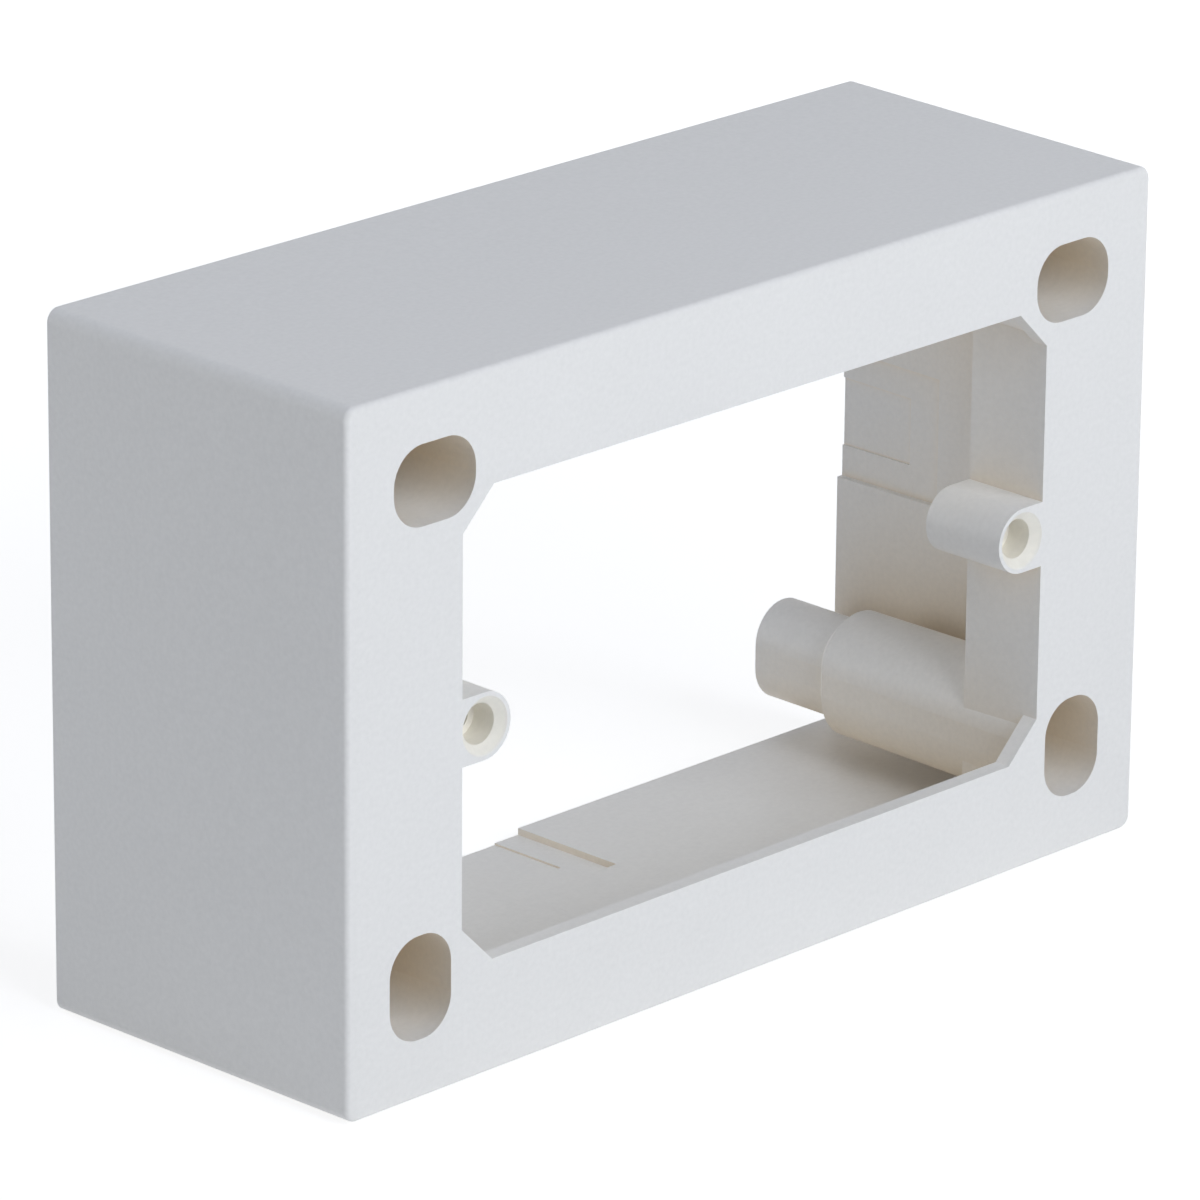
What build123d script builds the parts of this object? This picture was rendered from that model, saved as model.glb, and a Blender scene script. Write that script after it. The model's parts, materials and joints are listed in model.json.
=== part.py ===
from build123d import *
from math import radians, tan
import os

# A one-piece moulded box that stands a wall plate off the wall.
# X runs across the front face, +Y points into the wall and +Z is up.
# The origin is the centre of the open back, on the wall.

# Body, in millimetres
width = 124.0  # front face, side to side
height = 79.0  # front face, bottom to top
depth = 45.0  # wall to front face
draft = 0.5  # degrees that every side widens by towards the wall
side_wall = 2.2
front_wall = 2.0
corner_radius = 1.5  # the four long edges
hollow_corner_radius = 1.0  # the same edges inside, at the wall
front_edge_radius = 0.6  # round the front face

# Window in the front face
window_width = 90.6
window_height = 53.2
window_corner = 4.5  # cut across each corner

# Plate screws, one at each end of the window
plate_screw_spacing = 84.0
boss_radius = 3.8
boss_depth = 11.0  # from the front face to the boss's free end
boss_mouth_radius = 3.3
boss_mouth_bevel = 90  # degrees, side to side
boss_clearance_radius = 2.3
boss_clearance_depth = 4.0
boss_pilot_radius = 1.45

# Braces behind the window's two short edges
brace_thickness = 2.0

# Wall screws, in a tube behind each corner of the front face
head_slot_width = 9.0
head_slot_end_flat = 0.8  # straight part in the middle of each rounded end
head_slot_depth = 31.0  # from the front face to the screw head's seat
shank_slot_width = 5.4
slot_travel = 2.8  # length of each slot beyond its width
slot_inset_along = 12.65  # face edge to slot centre, along the slot
slot_inset_across = 10.65  # face edge to slot centre, across the slot
tube_wall = 1.9
seat_thickness = 2.0  # under the screw head
tube_step_slope = 45  # degrees, from the wide tube to the slim one

# Thinned panels that are cut out where a cable duct meets a side
panel_width = 15.8
panel_depth = 15.8  # from the wall
panel_recess = 0.8
inner_panel_width = 8.3
inner_panel_depth = 10.7
inner_panel_recess = 0.25  # beyond the outer panel's

# Sizes that follow from these
back_spread = 2 * depth * tan(radians(draft))
hollow_width = width + back_spread - 2 * side_wall
hollow_height = height + back_spread - 2 * side_wall
brace_spacing = window_width + brace_thickness
tongue_width = (window_width - plate_screw_spacing) / 2 + brace_thickness
tongue_spacing = plate_screw_spacing + tongue_width
head_slot_corner = (head_slot_width - head_slot_end_flat) / 2
slim_tube_width = shank_slot_width + 2 * tube_wall
wide_tube_width = head_slot_width + 2 * tube_wall
wide_tube_reach = head_slot_depth + seat_thickness  # from the front face
wide_tube_narrowing = 2 * (wide_tube_reach - front_wall) * tan(radians(draft))
wide_tube_end_width = wide_tube_width - wide_tube_narrowing
tube_step = (wide_tube_end_width - slim_tube_width) / 2 / tan(radians(tube_step_slope))
upper_screw_x = width / 2 - slot_inset_along
upper_screw_z = height / 2 - slot_inset_across
lower_screw_x = width / 2 - slot_inset_across
lower_screw_z = slot_inset_along - height / 2

front = Plane.XZ.offset(depth)
behind_front = Plane.XZ.offset(depth - front_wall)

# The upper pair of slots lies down and the lower pair stands up
wall_screws = (
    Location((-upper_screw_x, upper_screw_z, 0)),
    Location((upper_screw_x, upper_screw_z, 0)),
    Location((-lower_screw_x, lower_screw_z, 0), (0, 0, 90)),
    Location((lower_screw_x, lower_screw_z, 0), (0, 0, 90)),
)


def duct_panels(panel, recess):
    """A cross whose arms reach past the hollow by the recess, one arm into each side."""
    Rectangle(panel, hollow_height + 2 * recess)
    Rectangle(hollow_width + 2 * recess, panel)


with BuildPart() as mounting_box:
    # Outside, from the wall to the front face
    with BuildSketch(Plane.XZ):
        Rectangle(width + back_spread, height + back_spread)
    extrude(amount=depth, taper=draft)
    fillet(mounting_box.edges() - mounting_box.faces().filter_by(Axis.Y).edges(), corner_radius)
    fillet(mounting_box.faces().sort_by(Axis.Y)[0].edges(), front_edge_radius)

    # Hollow, open at the wall
    with BuildSketch(Plane.XZ):
        RectangleRounded(hollow_width, hollow_height, hollow_corner_radius)
    extrude(amount=depth - front_wall, taper=draft, mode=Mode.SUBTRACT)

    # Duct panels, a small one inside a large one on each side
    with BuildSketch(Plane.XZ):
        duct_panels(panel_width, panel_recess)
    extrude(amount=panel_depth, taper=draft, mode=Mode.SUBTRACT)
    with BuildSketch(Plane.XZ):
        duct_panels(inner_panel_width, panel_recess + inner_panel_recess)
    extrude(amount=inner_panel_depth, taper=draft, mode=Mode.SUBTRACT)

    # Tubes for the wall screws, slim at the wall and wide behind the front face
    with BuildSketch(Plane.XZ):
        with Locations(*wall_screws):
            SlotOverall(slim_tube_width + slot_travel, slim_tube_width)
    extrude(amount=depth - front_wall)
    with BuildSketch(behind_front):
        with Locations(*wall_screws):
            SlotOverall(wide_tube_width + slot_travel, wide_tube_width)
    extrude(amount=front_wall - wide_tube_reach, taper=draft)
    with BuildSketch(Plane.XZ.offset(depth - wide_tube_reach)):
        with Locations(*wall_screws):
            SlotOverall(wide_tube_end_width + slot_travel, wide_tube_end_width)
    extrude(amount=-tube_step, taper=tube_step_slope)

    # Braces from the bottom wall to the top wall
    with BuildSketch(behind_front):
        with GridLocations(brace_spacing, 0, 2, 1):
            Rectangle(brace_thickness, height - side_wall)
    extrude(amount=front_wall - boss_depth)

    # Window
    with BuildSketch(front) as window:
        Rectangle(window_width, window_height)
        chamfer(window.vertices(), window_corner)
    extrude(amount=-front_wall, mode=Mode.SUBTRACT)

    # Bosses for the plate screws, each on a tongue that runs out to its brace
    with BuildSketch(front):
        with GridLocations(plate_screw_spacing, 0, 2, 1):
            Circle(boss_radius)
        with GridLocations(tongue_spacing, 0, 2, 1):
            Rectangle(tongue_width, 2 * boss_radius)
    extrude(amount=-boss_depth)

    # Slots: wide for the screw's head, then narrow for its shank
    with BuildSketch(front):
        with Locations(*wall_screws):
            RectangleRounded(head_slot_width + slot_travel, head_slot_width, head_slot_corner)
    extrude(amount=-head_slot_depth, mode=Mode.SUBTRACT)
    with BuildSketch(Plane.XZ):
        with Locations(*wall_screws):
            SlotOverall(shank_slot_width + slot_travel, shank_slot_width)
    extrude(amount=depth - head_slot_depth, mode=Mode.SUBTRACT)

    # Holes in the bosses: a bevelled mouth, a clear bore, then a pilot for the thread
    with Locations(front):
        with GridLocations(plate_screw_spacing, 0, 2, 1):
            CounterSinkHole(boss_clearance_radius, boss_mouth_radius, boss_clearance_depth, boss_mouth_bevel)
            Hole(boss_pilot_radius, boss_depth)

mounting_box.part.label = "mounting_box"
os.makedirs("parts", exist_ok=True)
export_step(mounting_box.part, "parts/mounting_box.step")
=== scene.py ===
import json
import math
from functools import reduce
import bpy
from mathutils import Matrix, Vector


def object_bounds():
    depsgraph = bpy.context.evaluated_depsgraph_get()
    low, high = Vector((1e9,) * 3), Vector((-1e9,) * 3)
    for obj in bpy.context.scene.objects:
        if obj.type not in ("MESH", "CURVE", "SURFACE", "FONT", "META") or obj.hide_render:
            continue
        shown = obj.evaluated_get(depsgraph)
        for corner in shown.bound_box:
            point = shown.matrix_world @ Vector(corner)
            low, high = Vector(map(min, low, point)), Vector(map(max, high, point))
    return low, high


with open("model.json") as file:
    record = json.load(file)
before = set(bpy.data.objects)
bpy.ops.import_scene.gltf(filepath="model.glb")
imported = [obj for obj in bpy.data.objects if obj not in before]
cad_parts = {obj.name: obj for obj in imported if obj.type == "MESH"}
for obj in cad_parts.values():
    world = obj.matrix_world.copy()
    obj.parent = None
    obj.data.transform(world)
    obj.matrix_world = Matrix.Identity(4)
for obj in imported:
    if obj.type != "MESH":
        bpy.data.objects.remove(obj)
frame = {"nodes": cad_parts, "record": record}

# Sizes are in metres, in the box's own frame: the wall is at y = 0 and the front face looks along -Y.
millimetre = 0.001
cad_low, cad_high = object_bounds()
box_centre = (cad_low + cad_high) / 2
floor_height = cad_low.z
face_y = cad_low.y
mounts = {mount["name"]: mount for mount in frame["record"]["mounts"]}

# Camera
camera_azimuth = -45.53  # degrees; 0 looks straight at the front face
camera_elevation = 19.82
camera_roll = 0.52
camera_place = Vector((-0.6208, -0.6299, 0.3107))
camera_lens = 252.1  # millimetres
camera_sensor = 36  # millimetres wide
camera_near = 0.05
camera_far = 20

# White plastic
open_white = (0.84, 0.825, 0.80, 1)  # the plastic's own colour, on the faces that the light reaches
painted_recess_shade = (0.89, 0.76, 0.58, 1)  # painted shade: warmer and darker in deep places, standing in for the shade and warm bounced light there
painted_upward_light = (0.95, 0.935, 0.91, 1)  # painted light: the recess colour made lighter where a face looks up, as if light fell straight into it
recess_reach = 0.024  # a wall nearer than this makes a place a recess
recess_falloff = 0.65  # below 1, so that shallow recesses get more of the painted shade
recess_samples = 4
painted_boss_glow = (0.92, 0.885, 0.80, 1)  # painted glow: lighter and warmer inside the two bosses, as if light came through their thin walls
boss_places = mounts["plate_screws"]["dims"]["spacing_x_mm"] / 2 * millimetre  # to either side
boss_reach = 0.0034  # from a boss's middle to just past the rim of its mouth
mask_edge = 0.0003  # slack of a mask round the surface that it marks

# Moulded surface
grain_size = 0.0006
grain_height = 0.000008
grain_shade = 0.03  # the grain's pits are this much darker
grain_low, grain_high = 0.25, 0.75  # nearly all of the grain's noise lies between these
grain_detail = 3
ripple_size = 0.006
ripple_height = 0.00001
ripple_detail = 1
cloud_size = 0.022
cloud_strength = 0.02
cloud_detail = 3

# Satin gloss
satin_roughness = 0.42
cloud_scatter = 0.05  # rougher and smoother by this with the cloudiness
grain_scatter = 0.06  # rougher by up to this with the grain
pin_polish = 0.12  # smoother by this on the marks of the ejector pins

# Marks of the ejector pins, on the inside of the front wall, the same in all four quarters
pin_radius = 0.0022
pin_ring = 0.00025  # width of a mark's soft edge
pin_sink = 0.00005
pin_places = ((0.030, 0.0318), (0.0545, 0.010))  # across and up from the middle
front_wall = 0.002  # its thickness

# Stage
floor_reach = 3.0
floor_grey = (0.86, 0.86, 0.86, 1)  # the floor as it lights the box
shadow_grey = (0.4, 0.4, 0.4, 1)  # the floor as it is seen, which the box's shadow darkens
floor_glow = 0.8  # its own brightness near the box, so that it is nearly white
bright_from = 0.12  # from here to there it rises to plain white
bright_to = 0.4
ambient = 0.1
white = (1, 1, 1, 1)
daylight = (0.905, 0.945, 1.0)
skylight = (0.6, 0.7, 1.0)
lamp_distance = 1.0
lamp_size = 0.7
softboxes = {  # direction from the box, power in watts, colour, and whether gloss shows the lamp
    "front_softbox": ((0, -1, 0.45), 5.45, daylight, False),
    "high_front_softbox": ((0, -1, 1), 1.65, daylight, False),
    "low_left_softbox": ((-1, 0.5, 0.08), 2.9, daylight, True),
    "right_softbox": ((1, 0, 0.35), 1.2, daylight, True),
    "top_softbox": ((0, 0.03, 1), 1.2, skylight, True),
    "back_softbox": ((0, 1, 0.35), 1.95, daylight, True),
}
below_softbox = ((0, -0.3, -1), 1.2, daylight, True)


def look_from(azimuth, elevation, roll):
    """The camera's axes for a view round the object, as a rotation."""
    a, e, r = (math.radians(v) for v in (azimuth, elevation, roll))
    back = Vector((math.sin(a) * math.cos(e), -math.cos(a) * math.cos(e), math.sin(e)))
    level = Vector((math.cos(a), math.sin(a), 0))
    upright = back.cross(level)
    right = level * math.cos(r) + upright * math.sin(r)
    up = upright * math.cos(r) - level * math.sin(r)
    return Matrix((right, up, back)).transposed()


def make_camera():
    data = bpy.data.cameras.new("camera")
    data.sensor_width = camera_sensor
    data.lens = camera_lens
    data.clip_start = camera_near
    data.clip_end = camera_far
    camera = bpy.data.objects.new("camera", data)
    turn = look_from(camera_azimuth, camera_elevation, camera_roll)
    camera.matrix_world = Matrix.Translation(camera_place) @ turn.to_4x4()
    bpy.context.scene.collection.objects.link(camera)
    bpy.context.scene.camera = camera


def softbox(name, direction, power, colour, in_gloss):
    """A soft square lamp that faces the middle of the box."""
    data = bpy.data.lights.new(name, "AREA")
    data.shape = "SQUARE"
    data.size = lamp_size
    data.energy = power
    data.color = colour
    lamp = bpy.data.objects.new(name, data)
    towards = Vector(direction).normalized()
    lamp.location = box_centre + towards * lamp_distance
    lamp.rotation_euler = towards.to_track_quat("Z", "Y").to_euler()
    lamp.visible_camera = False
    lamp.visible_glossy = in_gloss
    bpy.context.scene.collection.objects.link(lamp)
    return lamp


def light_from_below(box):
    """A weak lamp under the floor for the underside. Only the box shades it."""
    lamp = softbox("below_softbox", *below_softbox)
    shading = bpy.data.collections.new("shades_below_softbox")
    shading.objects.link(box)
    lamp.light_linking.blocker_collection = shading


class Nodes:
    """Adds nodes to one tree, with what each socket is set to or takes its value from."""

    def __init__(self, tree):
        self.tree = tree

    def add(self, kind, inputs=None, **settings):
        node = self.tree.nodes.new(kind)
        for name, value in settings.items():
            setattr(node, name, value)
        for name, value in (inputs or {}).items():
            if isinstance(value, bpy.types.NodeSocket):
                self.tree.links.new(value, node.inputs[name])
            else:
                node.inputs[name].default_value = value
        return node

    def math(self, kind, *values):
        """One Math node's value."""
        return self.add("ShaderNodeMath", dict(enumerate(values)), operation=kind).outputs[0]

    def vector(self, kind, *values):
        """One Vector Math node."""
        return self.add("ShaderNodeVectorMath", dict(enumerate(values)), operation=kind)

    def scaled(self, value, low, high, source=(0, 1), soft=False):
        """A value carried from the source's range to low and high, and held there."""
        from_low, from_high = source
        sockets = {"Value": value, "From Min": from_low, "From Max": from_high, "To Min": low, "To Max": high}
        kind = "SMOOTHSTEP" if soft else "LINEAR"
        return self.add("ShaderNodeMapRange", sockets, interpolation_type=kind).outputs[0]

    def blend(self, factor, first, second):
        """A colour between two. The Mix node's colours are its sockets 6 and 7, and its output 2."""
        return self.add("ShaderNodeMix", {0: factor, 6: first, 7: second}, data_type="RGBA").outputs[2]

    def noise(self, place, size, detail):
        """Soft noise from 0 to 1 whose patches are about so wide."""
        sockets = {"Vector": place, "Scale": 1 / size, "Detail": detail}
        return self.add("ShaderNodeTexNoise", sockets).outputs["Fac"]


def new_material(name):
    material = bpy.data.materials.new(name)
    material.use_nodes = True
    material.node_tree.nodes.clear()
    return material, Nodes(material.node_tree)


def pin_marks(nodes, place):
    """1 on the shallow round marks that the ejector pins leave behind the front face."""
    folded = nodes.vector("ABSOLUTE", place).outputs[0]
    x, y, z = nodes.add("ShaderNodeSeparateXYZ", {0: folded}).outputs
    flat = nodes.add("ShaderNodeCombineXYZ", {"X": x, "Z": z}).outputs[0]
    spans = [nodes.vector("DISTANCE", flat, (along, 0, up)).outputs["Value"] for along, up in pin_places]
    nearest = reduce(lambda first, second: nodes.math("MINIMUM", first, second), spans)
    disc = nodes.scaled(nearest, 0, 1, (pin_radius, pin_radius - pin_ring), soft=True)
    behind = nodes.math("COMPARE", y, -face_y - front_wall, mask_edge)
    return nodes.math("MULTIPLY", disc, behind)


def boss_glow_share(nodes, place):
    """1 inside the bosses for the plate screws, where the glow is painted, and 0 elsewhere."""
    x, _, z = nodes.add("ShaderNodeSeparateXYZ", {0: place}).outputs
    across = nodes.math("SUBTRACT", nodes.math("ABSOLUTE", x), boss_places)
    flat = nodes.add("ShaderNodeCombineXYZ", {"X": across, "Z": z}).outputs[0]
    span = nodes.vector("LENGTH", flat).outputs["Value"]
    return nodes.scaled(span, 0, 1, (boss_reach, boss_reach - mask_edge))


def recess_shade_share(nodes):
    """How deep a place lies, which sets the painted recess shade: 0 in the open, rising to 1 where walls
    stand close on all sides.
    """
    sockets = {"Distance": recess_reach}
    openness = nodes.add("ShaderNodeAmbientOcclusion", sockets, samples=recess_samples, only_local=True)
    closed = nodes.math("SUBTRACT", 1, openness.outputs["AO"])
    return nodes.math("POWER", closed, recess_falloff)


def upward_light_share(nodes):
    """0 on what faces sideways or down, rising to 1 on what faces up, which sets the painted light in
    recesses.
    """
    facing = nodes.add("ShaderNodeTexCoord").outputs["Normal"]
    return nodes.math("MAXIMUM", nodes.add("ShaderNodeSeparateXYZ", {0: facing}).outputs["Z"], 0)


def make_plastic():
    material, nodes = new_material("white_plastic")
    place = nodes.add("ShaderNodeTexCoord").outputs["Object"]
    cloud = nodes.noise(place, cloud_size, cloud_detail)
    grain = nodes.noise(place, grain_size, grain_detail)
    ripple = nodes.noise(place, ripple_size, ripple_detail)
    marks = pin_marks(nodes, place)

    # Colour: cool where it is open, with painted shade that is warm in the recesses, painted light where a
    # recess face looks up, a painted glow inside the bosses, a faint cloudiness and darker pits
    recess_shade_and_light = nodes.blend(upward_light_share(nodes), painted_recess_shade, painted_upward_light)
    shade = nodes.blend(recess_shade_share(nodes), open_white, recess_shade_and_light)
    shade = nodes.blend(boss_glow_share(nodes, place), shade, painted_boss_glow)
    clouds = nodes.scaled(cloud, 1 - cloud_strength, 1 + cloud_strength)
    pits = nodes.scaled(grain, 1 - grain_shade, 1 + grain_shade, (grain_low, grain_high))
    colour = nodes.vector("MULTIPLY", shade, nodes.math("MULTIPLY", clouds, pits)).outputs[0]

    # Satin: the grain and the cloudiness scatter the gloss, and the pins leave smoother discs
    rough = nodes.scaled(cloud, satin_roughness - cloud_scatter, satin_roughness + cloud_scatter)
    rough = nodes.math("MULTIPLY_ADD", grain, grain_scatter, rough)
    rough = nodes.math("MULTIPLY_ADD", marks, -pin_polish, rough)

    # Height in metres, so the bump's strength and distance are both 1
    height = nodes.math("MULTIPLY", grain, grain_height)
    height = nodes.math("MULTIPLY_ADD", ripple, ripple_height, height)
    height = nodes.math("MULTIPLY_ADD", marks, -pin_sink, height)
    bump = nodes.add("ShaderNodeBump", {"Strength": 1, "Distance": 1, "Height": height}).outputs[0]

    shader = nodes.add("ShaderNodeBsdfPrincipled", {"Base Color": colour, "Roughness": rough, "Normal": bump})
    nodes.add("ShaderNodeOutputMaterial", {"Surface": shader.outputs[0]})
    return material


def seen_directly(nodes):
    """1 for the rays that show the background itself: the camera's, and those in gloss and glass."""
    path = nodes.add("ShaderNodeLightPath").outputs
    seen = nodes.math("MAXIMUM", path["Is Camera Ray"], path["Is Glossy Ray"])
    return nodes.math("MAXIMUM", seen, path["Is Transmission Ray"])


def floor_material():
    """White that keeps a light shadow near the box and is plain white further out."""
    material, nodes = new_material("floor")
    geometry = nodes.add("ShaderNodeNewGeometry").outputs
    span = nodes.vector("LENGTH", geometry["Position"]).outputs["Value"]
    glow = nodes.scaled(span, floor_glow, 1, (bright_from, bright_to), soft=True)
    shadow = nodes.add("ShaderNodeBsdfDiffuse", {"Color": shadow_grey}).outputs[0]
    bright = nodes.add("ShaderNodeEmission", {"Strength": glow}).outputs[0]
    shown = nodes.add("ShaderNodeAddShader", {0: shadow, 1: bright}).outputs[0]
    plain = nodes.add("ShaderNodeBsdfDiffuse", {"Color": floor_grey}).outputs[0]
    top = nodes.add("ShaderNodeMixShader", {0: seen_directly(nodes), 1: plain, 2: shown}).outputs[0]
    clear = nodes.add("ShaderNodeBsdfTransparent").outputs[0]
    both = nodes.add("ShaderNodeMixShader", {0: geometry["Backfacing"], 1: top, 2: clear}).outputs[0]
    nodes.add("ShaderNodeOutputMaterial", {"Surface": both})
    return material


def make_floor():
    """A plain white floor that can't be seen from beneath."""
    r = floor_reach
    corners = [(-r, -r, floor_height), (r, -r, floor_height), (r, r, floor_height), (-r, r, floor_height)]
    mesh = bpy.data.meshes.new("floor")
    mesh.from_pydata(corners, [], [(0, 1, 2, 3)])
    mesh.materials.append(floor_material())
    floor = bpy.data.objects.new("floor", mesh)
    bpy.context.scene.collection.objects.link(floor)


def make_world():
    """White to look at, and dimmer as light."""
    world = bpy.data.worlds.new("studio")
    bpy.context.scene.world = world
    world.use_nodes = True
    world.node_tree.nodes.clear()
    nodes = Nodes(world.node_tree)
    light = nodes.add("ShaderNodeBackground", {"Color": (*daylight, 1), "Strength": ambient}).outputs[0]
    backdrop = nodes.add("ShaderNodeBackground", {"Color": white, "Strength": 1}).outputs[0]
    both = nodes.add("ShaderNodeMixShader", {0: seen_directly(nodes), 1: light, 2: backdrop}).outputs[0]
    nodes.add("ShaderNodeOutputWorld", {"Surface": both})


bpy.context.scene.view_settings.view_transform = "Standard"
make_camera()
make_world()
make_floor()
for name, values in softboxes.items():
    softbox(name, *values)

box = frame["nodes"]["mounting_box"]
box.data.materials.clear()
box.data.materials.append(make_plastic())
light_from_below(box)
